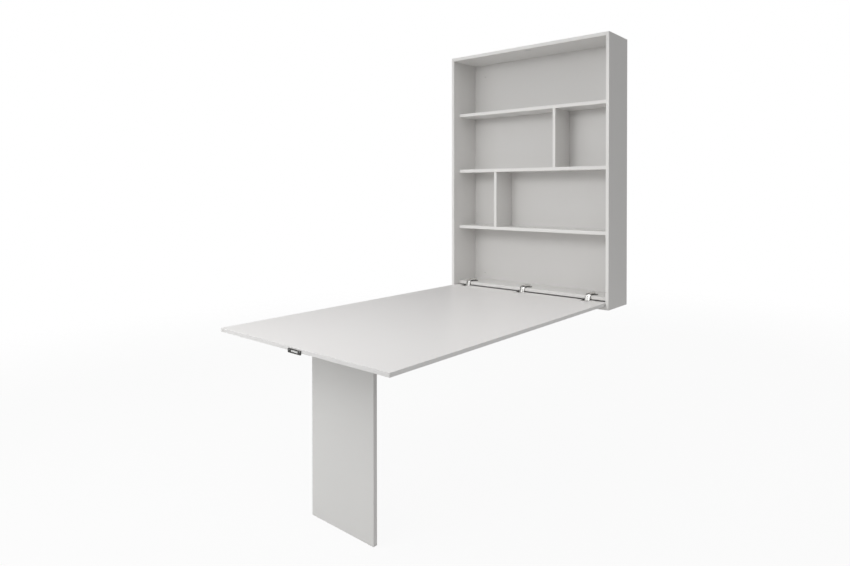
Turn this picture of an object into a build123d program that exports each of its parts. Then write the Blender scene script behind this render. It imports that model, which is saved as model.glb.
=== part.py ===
"""Wall-hung fold-down desk: an open shelf cabinet whose drop-down table top is carried by one hinged leg.

Frame: the wall plane is Y = 0 and the room is at -Y, X runs along the wall, Z is up.
The origin is the middle of the cabinet's back.
"""
import os

from build123d import *

os.makedirs("parts", exist_ok=True)

# Cabinet
cabinet_width = 1080
cabinet_height = 1380
cabinet_depth = 190
board = 18
back_board = 8
back_rebate = 9
shelf_setback = 47
top_clearance = 309
edge_round = 0.8

# Folding parts
floor_height = -1406
leaf_board = 15
band = 2
table_length = 1326
side_gap = 3
rest_gap = 1
leg_width = 384
leg_from_front = 190
leg_top_gap = 0.5
glide_height = 3

# Table hinges: a cranked arm comes down in front of the hinge shelf into a notch
# in the table's rear edge, and the table's bracket turns on its pin there
hinge_centres = (-446, -38, 392)
slot_height = 17
knuckle_radius = 4.7
hinge_pin_radius = 2.5
running_gap = 0.05
knuckle_gap = 0.3
crank_width = 30
crank_plate = 2.5
crank_lean = 12.7
crank_bend = 18
crank_top = 14.5
arm_width = 20
arm_reach = 61
arm_flange = 8
arm_screw_rows = (31, 49)
rail_width = 15.2
rail_start = 16
wing_span = 66
wing_width = 18
wing_height = 3
wing_setback = 40
wing_screw_x = 24
wing_screw_length = 12
notch_width = 48
notch_depth = 32
bracket_plate = 2
bracket_width = 44
cheek = 2.5
cheek_gap = 0.4

# Leg hinges
leg_hinge_centres = (-125, 125)
leg_hinge_width = 50
leg_leaf = 1.5
leg_leaf_reach = 28
leg_barrel_radius = 3.7
leg_pin_radius = 1.75
leg_screw_radius = 1.6
leg_screw_length = 11
leg_leaf_clear = 4.2

# Fasteners and fittings
cam_radius = 7.5
cam_depth = 13
cam_inset = 24
cam_bolt_radius = 3.5
dowel_radius = 4
dowel_length = 30
seat_depth = 10
fixing_inset = 25
magnet_length = 50
magnet_depth = 10
magnet_height = 8
wall_hole_radius = 4
wall_hole_x = 440
wall_hole_z = 600

# Pull, a little off the middle
pull_x = 10
pull_half = 40
pull_height = 16
pull_drop = 6.5
pull_rail = 4
pull_window = 22
pull_thickness = 3.5
pull_screw_x = 33

# Places worked out from the sizes above
inner_x = cabinet_width / 2 - board
front = -cabinet_depth
shelf_front = front + shelf_setback
shelf_back = -back_board
underside = -cabinet_height / 2
bottom_top = underside + board
hinge_shelf_z = bottom_top + slot_height
hinge_shelf_top = hinge_shelf_z + board
ceiling = cabinet_height / 2 - board
shelf_pitch = (ceiling - top_clearance - hinge_shelf_top) / 3
shelf_levels = [hinge_shelf_top + i * shelf_pitch - board for i in (1, 2, 3)]

table_under = bottom_top + rest_gap
table_surface = table_under + leaf_board
pivot_y = front + 34
pivot_z = underside + 24
table_back = pivot_y - 7
notch_wall = table_back - notch_depth
table_front = table_back - table_length
table_half = inner_x - side_gap
wing_y = shelf_front + wing_setback

leg_front = table_front + leg_from_front
leg_rear = leg_front + leaf_board
leg_top = table_under - leg_top_gap
leg_foot = floor_height + glide_height
leg_pivot_y = leg_rear + 4
leg_pivot_z = table_under - 4
magnet_y = front + 30.5


def save(piece, name):
    piece.part.label = name
    export_step(piece.part, f"parts/{name}.step")


def slab(x0, x1, y0, y1, z0, z1):
    """Extrude a plain board between two corners inside the current part."""
    with BuildSketch(Plane.XY.offset(z0)) as outline:
        with Locations(((x0 + x1) / 2, (y0 + y1) / 2)):
            Rectangle(x1 - x0, y1 - y0)
    extrude(outline.sketch, amount=z1 - z0)


def rod_x(radius, x0, x1, y, z, mode=Mode.ADD):
    """A round bar or bore along X."""
    with BuildSketch(Plane.YZ.offset(x0)) as outline:
        with Locations((y, z)):
            Circle(radius)
    extrude(outline.sketch, amount=x1 - x0, mode=mode)


def rod_y(radius, y0, y1, x, z, mode=Mode.ADD):
    """A round bar or bore along Y."""
    with BuildSketch(Plane.XZ.offset(-y0)) as outline:
        with Locations((x, z)):
            Circle(radius)
    extrude(outline.sketch, amount=y0 - y1, mode=mode)


def rod_z(radius, z0, z1, x, y, mode=Mode.ADD):
    """A round bar or bore along Z."""
    with BuildSketch(Plane.XY.offset(z0)) as outline:
        with Locations((x, y)):
            Circle(radius)
    extrude(outline.sketch, amount=z1 - z0, mode=mode)


# Every board that spans the cabinet: name, front, lower face, and whether its cams open upwards
spans = [
    ("top_panel", front, ceiling, True),
    ("shelf_upper", shelf_front, shelf_levels[2], True),
    ("shelf_middle", shelf_front, shelf_levels[1], True),
    ("shelf_lower", shelf_front, shelf_levels[0], False),
    ("hinge_shelf", shelf_front, hinge_shelf_z, False),
    ("bottom_panel", front, underside, False),
]

# Dividers: name, middle in X, lower end, upper end
divider_upper_x = -inner_x + 2 * inner_x * 2 / 3
divider_lower_x = -inner_x + 2 * inner_x * 0.27
dividers = [
    ("divider_upper", divider_upper_x, shelf_levels[1] + board, shelf_levels[2]),
    ("divider_lower", divider_lower_x, shelf_levels[0] + board, shelf_levels[1]),
]


def cam_rows(board_front):
    return (board_front + fixing_inset, shelf_back - fixing_inset)


def dowel_row(board_front):
    return (board_front + shelf_back) / 2


def cut_end_fittings(board_front, z, upward):
    """Bores for the cams, cam bolts and dowels at both ends of a spanning board."""
    middle = z + board / 2
    cam_floor = z + board - cam_depth if upward else z
    for side in (-1, 1):
        end = side * inner_x
        for y in cam_rows(board_front):
            rod_z(cam_radius, cam_floor, cam_floor + cam_depth, end - side * cam_inset, y, Mode.SUBTRACT)
            low, high = sorted((end, end - side * cam_inset))
            rod_x(cam_bolt_radius, low, high, y, middle, Mode.SUBTRACT)
        low, high = sorted((end, end - side * (dowel_length - seat_depth)))
        rod_x(dowel_radius, low, high, dowel_row(board_front), middle, Mode.SUBTRACT)


def cut_divider_dowels(z):
    """Dowel seats in a shelf where a divider stands on it or hangs under it."""
    for _, x, low, high in dividers:
        for y in cam_rows(shelf_front):
            if z + board == low:
                rod_z(dowel_radius, low - seat_depth, low, x, y, Mode.SUBTRACT)
            if z == high:
                rod_z(dowel_radius, high, high + seat_depth, x, y, Mode.SUBTRACT)


for name, board_front, z, upward in spans:
    with BuildPart() as span:
        slab(-inner_x, inner_x, board_front, shelf_back, z, z + board)
        fillet(span.edges().filter_by(Axis.X).group_by(Axis.Y)[0], edge_round)
        cut_end_fittings(board_front, z, upward)
        cut_divider_dowels(z)
        if name == "hinge_shelf":
            for centre in hinge_centres:
                for x in (centre - wing_screw_x, centre + wing_screw_x):
                    rod_z(2, hinge_shelf_top - wing_screw_length, hinge_shelf_top, x, wing_y, Mode.SUBTRACT)
        if name == "top_panel":
            with BuildSketch(Plane.XY.offset(ceiling)):
                with Locations((pull_x, magnet_y)):
                    Rectangle(magnet_length, magnet_depth)
            extrude(amount=magnet_height, mode=Mode.SUBTRACT)
        if name in ("top_panel", "bottom_panel"):
            for x in (-300, 0, 300):
                rod_y(1.75, shelf_back - 17, shelf_back, x, z + board / 2, Mode.SUBTRACT)
    save(span, name)

for name, x, low, high in dividers:
    with BuildPart() as divider:
        slab(x - board / 2, x + board / 2, shelf_front, shelf_back, low, high)
        fillet(divider.edges().filter_by(Axis.Z).group_by(Axis.Y)[0], edge_round)
        for y in cam_rows(shelf_front):
            depth = dowel_length - seat_depth
            rod_z(dowel_radius, low, low + depth, x, y, Mode.SUBTRACT)
            rod_z(dowel_radius, high - depth, high, x, y, Mode.SUBTRACT)
    save(divider, name)

back_screw_z = (-560, -280, 0, 280, 560)
back_screw_x = inner_x + back_rebate / 2

for name, side in (("side_panel_left", -1), ("side_panel_right", 1)):
    low, high = sorted((side * inner_x, side * (inner_x + board)))
    with BuildPart() as side_panel:
        slab(low, high, front, 0, underside, -underside)
        fillet(side_panel.edges().filter_by(Axis.Z).group_by(Axis.Y)[0], edge_round)
        rebate_low, rebate_high = sorted((side * inner_x, side * (inner_x + back_rebate)))
        with BuildSketch(Plane.XY.offset(underside)):
            with Locations(((rebate_low + rebate_high) / 2, -back_board / 2)):
                Rectangle(back_rebate, back_board)
        extrude(amount=cabinet_height, mode=Mode.SUBTRACT)
        seat_low, seat_high = sorted((side * inner_x, side * (inner_x + seat_depth)))
        for _, board_front, z, _ in spans:
            for y in cam_rows(board_front):
                rod_x(cam_bolt_radius, seat_low, seat_high, y, z + board / 2, Mode.SUBTRACT)
            rod_x(dowel_radius, seat_low, seat_high, dowel_row(board_front), z + board / 2, Mode.SUBTRACT)
        for z in back_screw_z:
            rod_y(1.75, -back_board - 17, -back_board, side * back_screw_x, z, Mode.SUBTRACT)
    save(side_panel, name)

back_screws_at = [(s * back_screw_x, z) for s in (-1, 1) for z in back_screw_z]
back_screws_at += [(x, s * (-underside - board / 2)) for s in (-1, 1) for x in (-300, 0, 300)]

with BuildPart() as back_panel:
    half = inner_x + back_rebate
    slab(-half, half, -back_board, 0, underside, -underside)
    with BuildSketch(Plane.XZ):
        with Locations(*back_screws_at):
            Circle(1.75)
    extrude(amount=back_board, mode=Mode.SUBTRACT)
    with BuildSketch(Plane.XZ):
        with Locations(*back_screws_at):
            Circle(3.5)
    extrude(amount=2, mode=Mode.SUBTRACT)
    with BuildSketch(Plane.XZ):
        with GridLocations(2 * wall_hole_x, 2 * wall_hole_z, 2, 2):
            Circle(wall_hole_radius)
    extrude(amount=back_board, mode=Mode.SUBTRACT)
save(back_panel, "back_panel")

with BuildPart() as back_screws:
    with BuildSketch(Plane.XZ):
        with Locations(*back_screws_at):
            Circle(3.5)
    extrude(amount=2)
    with BuildSketch(Plane.XZ.offset(2)):
        with Locations(*back_screws_at):
            Circle(1.75)
    extrude(amount=back_board + 17 - 2)
save(back_screws, "back_screws")

# Knock-down fittings that hold the boards to the sides
with BuildPart() as cam_locks:
    for _, board_front, z, upward in spans:
        cam_floor = z + board - cam_depth if upward else z
        for side in (-1, 1):
            for y in cam_rows(board_front):
                x = side * (inner_x - cam_inset)
                rod_z(cam_radius, cam_floor, cam_floor + cam_depth, x, y)
                slot_z = cam_floor + cam_depth - 2 if upward else cam_floor
                with BuildSketch(Plane.XY.offset(slot_z)):
                    with Locations((x, y)):
                        Rectangle(9, 1.6)
                        Rectangle(1.6, 9)
                extrude(amount=2, mode=Mode.SUBTRACT)
save(cam_locks, "cam_locks")

with BuildPart() as cam_bolts:
    for _, board_front, z, _ in spans:
        for side in (-1, 1):
            low, high = sorted((side * (inner_x - cam_inset + cam_radius), side * (inner_x + seat_depth)))
            for y in cam_rows(board_front):
                rod_x(cam_bolt_radius, low, high, y, z + board / 2)
save(cam_bolts, "cam_bolts")

with BuildPart() as dowels:
    for _, board_front, z, _ in spans:
        for side in (-1, 1):
            inner_end = side * (inner_x - dowel_length + seat_depth)
            low, high = sorted((inner_end, side * (inner_x + seat_depth)))
            rod_x(dowel_radius, low, high, dowel_row(board_front), z + board / 2)
    for _, x, low, high in dividers:
        for y in cam_rows(shelf_front):
            rod_z(dowel_radius, low - seat_depth, low + dowel_length - seat_depth, x, y)
            rod_z(dowel_radius, high + seat_depth - dowel_length, high + seat_depth, x, y)
save(dowels, "dowels")

# Magnet let into the top panel, which holds the closed table by its pull
with BuildPart() as catch_magnet:
    with BuildSketch(Plane.XY.offset(ceiling)):
        with Locations((pull_x, magnet_y)):
            Rectangle(magnet_length, magnet_depth)
    extrude(amount=magnet_height)
    with BuildSketch(Plane.XY.offset(ceiling)):
        with Locations((pull_x, magnet_y)):
            Rectangle(magnet_length - 6, 1.2)
    extrude(amount=1, mode=Mode.SUBTRACT)
save(catch_magnet, "catch_magnet")

# Table hinges
arm_top = hinge_shelf_top + crank_top
arm_middle = arm_top - crank_plate / 2
arm_under = arm_top - crank_plate
arm_end = shelf_front + arm_reach
arm_screw_y = [shelf_front + row for row in arm_screw_rows]
bend_end = pivot_y + crank_lean + crank_bend - 4
bracket_low = table_under + 1
bracket_high = table_surface - 1
bracket_face = notch_wall + bracket_plate
bracket_screw_x = 8
bracket_screw_z = (table_under + table_surface) / 2
screw_reach = 22

for number, centre in enumerate(hinge_centres, 1):
    half = crank_width / 2
    with BuildPart() as arm:
        with BuildSketch(Plane.YZ.offset(centre - half)) as profile:
            with BuildLine() as spine:
                FilletPolyline(
                    (pivot_y, pivot_z),
                    (pivot_y + crank_lean, arm_middle),
                    (arm_end, arm_middle),
                    radius=crank_bend,
                )
            trace(spine.line, line_width=crank_plate)
        extrude(profile.sketch, amount=crank_width)
        for side in (-1, 1):
            low, high = sorted((side * arm_width / 2, side * half))
            with BuildSketch(Plane.XY.offset(arm_under - 1)):
                with Locations((centre + (low + high) / 2, (bend_end + arm_end) / 2)):
                    Rectangle(high - low, arm_end - bend_end)
            extrude(amount=crank_plate + 2, mode=Mode.SUBTRACT)
            low, high = sorted((side * (arm_width / 2 - 2), side * arm_width / 2))
            slab(centre + low, centre + high, bend_end, arm_end, arm_under - arm_flange, arm_under)
        rod_x(knuckle_radius, centre - half, centre + half, pivot_y, pivot_z)
        rod_x(hinge_pin_radius, centre - half, centre + half, pivot_y, pivot_z, Mode.SUBTRACT)
        for y in arm_screw_y:
            rod_z(2, arm_under, arm_top, centre, y, Mode.SUBTRACT)
    save(arm, f"hinge_arm_{number}")

    with BuildPart() as mount:
        with BuildSketch(Plane.XY.offset(hinge_shelf_top)):
            with Locations((centre, wing_y)):
                RectangleRounded(wing_span, wing_width, wing_width / 2 - 1)
        extrude(amount=wing_height)
        slab(centre - rail_width / 2, centre + rail_width / 2, shelf_front + rail_start, arm_end - 2,
             hinge_shelf_top, arm_under)
        for x in (centre - wing_screw_x, centre + wing_screw_x):
            rod_z(2, hinge_shelf_top, hinge_shelf_top + wing_height, x, wing_y, Mode.SUBTRACT)
        for y in arm_screw_y:
            rod_z(2, hinge_shelf_top + 2, arm_under, centre, y, Mode.SUBTRACT)
    save(mount, f"hinge_mount_{number}")

    with BuildPart() as bracket:
        wide = bracket_width / 2
        slab(centre - wide, centre + wide, notch_wall, bracket_face, bracket_low, bracket_high)
        fillet(bracket.edges().filter_by(Axis.Y), 2)
        for side in (-1, 1):
            inner = half + cheek_gap
            low, high = sorted((side * inner, side * (inner + cheek)))
            slab(centre + low, centre + high, bracket_face, pivot_y, pivot_z - 4.2, pivot_z + 4.2)
            rod_x(knuckle_radius, centre + low, centre + high, pivot_y, pivot_z)
            bore = hinge_pin_radius + running_gap
            rod_x(bore, centre + low, centre + high, pivot_y, pivot_z, Mode.SUBTRACT)
        for x in (centre - bracket_screw_x, centre + bracket_screw_x):
            rod_y(1.75, notch_wall, bracket_face, x, bracket_screw_z, Mode.SUBTRACT)
    save(bracket, f"hinge_bracket_{number}")

    with BuildPart() as pin:
        reach = half + cheek_gap + cheek + 1
        rod_x(hinge_pin_radius, centre - reach, centre + reach, pivot_y, pivot_z)
        chamfer(pin.edges(), 0.5)
    save(pin, f"hinge_pin_{number}")

with BuildPart() as mount_screws:
    for centre in hinge_centres:
        for x in (centre - wing_screw_x, centre + wing_screw_x):
            wing_top = hinge_shelf_top + wing_height
            rod_z(2, hinge_shelf_top - wing_screw_length, wing_top, x, wing_y)
            rod_z(3.8, wing_top, wing_top + 1.6, x, wing_y)
save(mount_screws, "hinge_mount_screws")

with BuildPart() as arm_screws:
    for centre in hinge_centres:
        for y in arm_screw_y:
            rod_z(2, hinge_shelf_top + 2, arm_top, centre, y)
            rod_z(4, arm_top, arm_top + 2, centre, y)
            with BuildSketch(Plane.XY.offset(arm_top + 1)):
                with Locations((centre, y)):
                    Rectangle(5, 1)
                    Rectangle(1, 5)
            extrude(amount=1, mode=Mode.SUBTRACT)
save(arm_screws, "hinge_arm_screws")

with BuildPart() as bracket_screws:
    for centre in hinge_centres:
        for x in (centre - bracket_screw_x, centre + bracket_screw_x):
            rod_y(1.75, notch_wall - screw_reach, bracket_face, x, bracket_screw_z)
            rod_y(3, bracket_face, bracket_face + 1.2, x, bracket_screw_z)
save(bracket_screws, "hinge_bracket_screws")

# Table top with its glued edge band
pull_screw_z = table_under + 5
leg_leaf_rows = (leg_pivot_y + 13, leg_pivot_y + 22)
leg_leaf_screw_x = (-17, 0, 17)
table_screw_top = table_under + leg_screw_length
leg_screws_at = [(c + x, row) for c in leg_hinge_centres for x, row in
                 zip(leg_leaf_screw_x, (leg_leaf_rows[0], leg_leaf_rows[1], leg_leaf_rows[0]))]


def cut_table_screws():
    """Screw seats in the table's notches, front edge and underside."""
    for centre in hinge_centres:
        for x in (centre - bracket_screw_x, centre + bracket_screw_x):
            rod_y(1.75, notch_wall - screw_reach, notch_wall, x, bracket_screw_z, Mode.SUBTRACT)
    for x in (pull_x - pull_screw_x, pull_x + pull_screw_x):
        rod_y(1.5, table_front, table_front + 16, x, pull_screw_z, Mode.SUBTRACT)
    for x, y in leg_screws_at:
        rod_z(leg_screw_radius, table_under, table_screw_top, x, y, Mode.SUBTRACT)


def cut_notches():
    """Openings through the table's rear edge, one round each hinge."""
    for centre in hinge_centres:
        with BuildSketch(Plane.XY.offset(table_under)) as outline:
            with Locations((centre, table_back - notch_depth / 2)):
                Rectangle(notch_width, notch_depth)
        extrude(outline.sketch, amount=leaf_board, mode=Mode.SUBTRACT)


with BuildPart() as table_top:
    slab(-table_half + band, table_half - band, table_front + band, table_back - band,
         table_under, table_surface)
    cut_notches()
    cut_table_screws()
save(table_top, "table_top")

with BuildPart() as table_edge_band:
    slab(-table_half, table_half, table_front, table_back, table_under, table_surface)
    fillet(table_edge_band.edges().filter_by(Axis.Z), 2)
    fillet(table_edge_band.faces().filter_by(Axis.Z).edges(), edge_round)
    with BuildSketch(Plane.XY.offset(table_under)):
        with Locations((0, (table_front + table_back) / 2)):
            Rectangle(2 * (table_half - band), table_length - 2 * band)
    extrude(amount=leaf_board, mode=Mode.SUBTRACT)
    cut_notches()
    cut_table_screws()
save(table_edge_band, "table_edge_band")

# Pull on the table's free edge: a dark frame around a bright strike bar, hanging a little below the board
pull_low = table_under - pull_drop
pull_high = pull_low + pull_height
pull_face = table_front - pull_thickness

with BuildPart() as pull_frame:
    slab(pull_x - pull_half, pull_x + pull_half, pull_face, table_front, pull_low, pull_high)
    fillet(pull_frame.edges().filter_by(Axis.Y), 3)
    with BuildSketch(Plane.XZ.offset(-table_front)):
        with Locations((pull_x, (pull_low + pull_high) / 2)):
            RectangleRounded(2 * pull_window, pull_high - pull_low - 2 * pull_rail, 1.5)
    extrude(amount=pull_thickness, mode=Mode.SUBTRACT)
    fillet(pull_frame.faces().group_by(Axis.Y)[0].edges(), 0.8)
    for x in (pull_x - pull_screw_x, pull_x + pull_screw_x):
        rod_y(1.5, pull_face, table_front, x, pull_screw_z, Mode.SUBTRACT)
        rod_y(3.2, pull_face, pull_face + 1.6, x, pull_screw_z, Mode.SUBTRACT)
save(pull_frame, "pull_frame")

with BuildPart() as pull_bar:
    bar_half = pull_window - 0.2
    bar_low = pull_low + pull_rail + 0.2
    bar_high = pull_high - pull_rail - 0.2
    slab(pull_x - bar_half, pull_x + bar_half, table_front - 2.2, table_front, bar_low, bar_high)
    fillet(pull_bar.edges().filter_by(Axis.Y), 1.3)
    chamfer(pull_bar.faces().group_by(Axis.Y)[0].edges(), 0.5)
save(pull_bar, "pull_strike_bar")

with BuildPart() as pull_screws:
    for x in (pull_x - pull_screw_x, pull_x + pull_screw_x):
        rod_y(1.5, pull_face + 1.6, table_front + 16, x, pull_screw_z)
        rod_y(3.1, pull_face + 0.3, pull_face + 1.6, x, pull_screw_z)
        with BuildSketch(Plane.XZ.offset(-pull_face - 0.3)):
            with Locations((x, pull_screw_z)):
                Rectangle(4, 0.9)
                Rectangle(0.9, 4)
        extrude(amount=-0.8, mode=Mode.SUBTRACT)
save(pull_screws, "pull_screws")

# Leg board with its edge band
leg_half = leg_width / 2
leg_leaf_z = (leg_pivot_z - 13, leg_pivot_z - 22)
leg_side_screws_at = [(c + x, z) for c in leg_hinge_centres for x, z in
                      zip(leg_leaf_screw_x, (leg_leaf_z[0], leg_leaf_z[1], leg_leaf_z[0]))]
glide_x = 160

with BuildPart() as leg_panel:
    slab(-leg_half + band, leg_half - band, leg_front, leg_rear, leg_foot + band, leg_top - band)
    for x, z in leg_side_screws_at:
        rod_y(leg_screw_radius, leg_rear - leg_screw_length, leg_rear, x, z, Mode.SUBTRACT)
    for x in (-glide_x, glide_x):
        rod_z(1.2, leg_foot + band, leg_foot + 14, x, (leg_front + leg_rear) / 2, Mode.SUBTRACT)
save(leg_panel, "leg_panel")

with BuildPart() as leg_edge_band:
    slab(-leg_half, leg_half, leg_front, leg_rear, leg_foot, leg_top)
    fillet(leg_edge_band.edges().filter_by(Axis.Y), 2)
    fillet(leg_edge_band.faces().filter_by(Axis.Y).edges(), edge_round)
    with BuildSketch(Plane.XZ.offset(-leg_front)):
        with Locations((0, (leg_foot + leg_top) / 2)):
            Rectangle(leg_width - 2 * band, leg_top - leg_foot - 2 * band)
    extrude(amount=-leaf_board, mode=Mode.SUBTRACT)
    for x in (-glide_x, glide_x):
        rod_z(1.2, leg_foot, leg_foot + band, x, (leg_front + leg_rear) / 2, Mode.SUBTRACT)
save(leg_edge_band, "leg_edge_band")

with BuildPart() as leg_glides:
    for x in (-glide_x, glide_x):
        rod_z(6.5, floor_height, leg_foot, x, (leg_front + leg_rear) / 2)
        rod_z(1.2, leg_foot, leg_foot + 14, x, (leg_front + leg_rear) / 2)
    chamfer(leg_glides.faces().group_by(Axis.Z)[0].edges(), 0.8)
save(leg_glides, "leg_glides")

# Leg hinges: butt hinges in the corner between the table's underside and the leg's rear face
leg_knuckle = leg_hinge_width / 3

for number, centre in enumerate(leg_hinge_centres, 1):
    low = centre - leg_hinge_width / 2
    high = centre + leg_hinge_width / 2
    with BuildPart() as table_leaf:
        slab(low, high, leg_pivot_y + leg_leaf_clear, leg_pivot_y + leg_leaf_reach,
             table_under - leg_leaf, table_under)
        fillet(table_leaf.edges().filter_by(Axis.Z).group_by(Axis.Y)[-1], 4)
        for x0 in (low, high - leg_knuckle + knuckle_gap):
            slab(x0, x0 + leg_knuckle - knuckle_gap, leg_pivot_y, leg_pivot_y + 5,
                 table_under - leg_leaf - 0.8, table_under - 0.3)
            rod_x(leg_barrel_radius, x0, x0 + leg_knuckle - knuckle_gap, leg_pivot_y, leg_pivot_z)
        rod_x(leg_pin_radius, low, high, leg_pivot_y, leg_pivot_z, Mode.SUBTRACT)
        for x, y in leg_screws_at:
            if low < x < high:
                rod_z(leg_screw_radius, table_under - leg_leaf, table_under, x, y, Mode.SUBTRACT)
    save(table_leaf, f"leg_hinge_table_leaf_{number}")

    with BuildPart() as leg_side_leaf:
        slab(low, high, leg_rear, leg_rear + leg_leaf,
             leg_pivot_z - leg_leaf_reach, leg_pivot_z - leg_leaf_clear)
        fillet(leg_side_leaf.edges().filter_by(Axis.Y).group_by(Axis.Z)[0], 4)
        x0 = low + leg_knuckle
        x1 = high - leg_knuckle
        slab(x0, x1, leg_rear + 0.3, leg_rear + leg_leaf + 0.8, leg_pivot_z - 5, leg_pivot_z)
        rod_x(leg_barrel_radius, x0, x1, leg_pivot_y, leg_pivot_z)
        rod_x(leg_pin_radius + running_gap, x0, x1, leg_pivot_y, leg_pivot_z, Mode.SUBTRACT)
        for x, z in leg_side_screws_at:
            if low < x < high:
                rod_y(leg_screw_radius, leg_rear, leg_rear + leg_leaf, x, z, Mode.SUBTRACT)
    save(leg_side_leaf, f"leg_hinge_leg_leaf_{number}")

    with BuildPart() as leg_pin:
        rod_x(leg_pin_radius, low - 0.6, high + 0.6, leg_pivot_y, leg_pivot_z)
        chamfer(leg_pin.edges(), 0.3)
    save(leg_pin, f"leg_hinge_pin_{number}")

with BuildPart() as table_side_screws:
    for x, y in leg_screws_at:
        rod_z(leg_screw_radius, table_under - leg_leaf, table_screw_top, x, y)
        rod_z(3, table_under - leg_leaf - 1, table_under - leg_leaf, x, y)
save(table_side_screws, "leg_hinge_table_screws")

with BuildPart() as leg_side_screws:
    for x, z in leg_side_screws_at:
        rod_y(leg_screw_radius, leg_rear - leg_screw_length, leg_rear + leg_leaf, x, z)
        rod_y(3, leg_rear + leg_leaf, leg_rear + leg_leaf + 1, x, z)
save(leg_side_screws, "leg_hinge_leg_screws")
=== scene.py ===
import bpy
import bmesh
import math
from mathutils import Matrix, Vector


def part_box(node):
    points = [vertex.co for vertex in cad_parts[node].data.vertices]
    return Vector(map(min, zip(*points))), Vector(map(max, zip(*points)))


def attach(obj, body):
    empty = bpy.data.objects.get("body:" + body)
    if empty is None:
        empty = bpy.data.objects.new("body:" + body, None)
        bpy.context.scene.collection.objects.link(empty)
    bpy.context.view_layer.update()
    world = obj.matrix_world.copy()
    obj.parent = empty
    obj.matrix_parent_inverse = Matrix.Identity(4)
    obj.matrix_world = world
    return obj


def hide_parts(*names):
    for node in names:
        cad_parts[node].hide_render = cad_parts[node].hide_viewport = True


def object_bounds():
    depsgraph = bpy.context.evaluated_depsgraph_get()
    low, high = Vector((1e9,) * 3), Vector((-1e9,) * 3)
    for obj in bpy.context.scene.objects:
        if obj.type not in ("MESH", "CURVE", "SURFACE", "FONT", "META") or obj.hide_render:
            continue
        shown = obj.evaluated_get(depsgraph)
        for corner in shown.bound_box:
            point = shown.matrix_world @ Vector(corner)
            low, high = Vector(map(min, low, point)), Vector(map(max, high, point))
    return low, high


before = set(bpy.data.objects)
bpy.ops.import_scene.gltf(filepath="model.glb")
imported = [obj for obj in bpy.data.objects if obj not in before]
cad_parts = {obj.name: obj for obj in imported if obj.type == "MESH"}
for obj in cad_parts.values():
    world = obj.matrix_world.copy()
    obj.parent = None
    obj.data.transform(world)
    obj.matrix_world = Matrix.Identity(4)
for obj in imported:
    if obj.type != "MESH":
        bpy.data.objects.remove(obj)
cadLow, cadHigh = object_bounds()

mm = 0.001


# helpers that lay out a material's nodes

def put(tree, kind, inputs=None, **settings):
    node = tree.nodes.new("ShaderNode" + kind)
    for key, value in settings.items():
        setattr(node, key, value)
    for key, value in (inputs or {}).items():
        if isinstance(value, bpy.types.NodeSocket):
            tree.links.new(value, node.inputs[key])
        else:
            node.inputs[key].default_value = value
    return node


def calc(tree, operation, *values):
    return put(tree, "Math", dict(enumerate(values)), operation=operation).outputs[0]


def spread(tree, value, low, high, toLow, toHigh):
    inputs = {"Value": value, "From Min": low, "From Max": high, "To Min": toLow, "To Max": toHigh}
    return put(tree, "MapRange", inputs).outputs["Result"]


def cloud(tree, place, size, detail=2.0, stretch=(1, 1, 1)):
    scaled = put(tree, "VectorMath", {0: place, 1: stretch}, operation="MULTIPLY").outputs[0]
    return put(tree, "TexNoise", {"Vector": scaled, "Scale": size, "Detail": detail}).outputs["Fac"]


def newPaint(name, colour, roughness, metal=0.0):
    paint = bpy.data.materials.new(name)
    paint.use_nodes = True
    shader = paint.node_tree.nodes["Principled BSDF"]
    shader.inputs["Base Color"].default_value = (*colour, 1)
    shader.inputs["Roughness"].default_value = roughness
    shader.inputs["Metallic"].default_value = metal
    place = put(paint.node_tree, "TexCoord").outputs["Object"]
    return paint, paint.node_tree, shader, place


def tint(tree, shader, colour, factor):
    shade = put(tree, "VectorMath", {0: colour, "Scale": factor}, operation="SCALE").outputs[0]
    tree.links.new(shade, shader.inputs["Base Color"])


def rough(tree, shader, height, depth, strength=0.3):
    bump = put(tree, "Bump", {"Height": height, "Distance": depth, "Strength": strength})
    tree.links.new(bump.outputs["Normal"], shader.inputs["Normal"])


# White foil on board: slow drift in tone, a fine pearl grain, rubbed arrises,
# and a glued band on one face with a hairline joint beside it; the band is painted lighter, a painted
# highlight on that face
foil = {
    "cabinet": (0.80, 0.79, 0.775),
    # the table's foil is the same white as the cabinet's, painted lighter: painted light on the table
    "table": (0.90, 0.885, 0.875),
    "leg": (0.79, 0.785, 0.77),
    "back": (0.76, 0.75, 0.735),
    "driftSize": 1.7,
    "drift": 0.03,
    "pearlSize": 900.0,
    "pearlDepth": 0.00002,
    "peelSize": 150.0,
    "gloss": 0.34,
    "glossDrift": 0.07,
    "wearReach": 0.0014,
    "wear": 0.07,
    "wearRough": 0.15,
    "patchSize": 35.0,
    "band": 0.0008,
    "joint": 0.00012,
    "jointDark": 0.22,
    # how much lighter the band is painted: a painted highlight
    "bandHighlight": 0.17,
}


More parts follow.
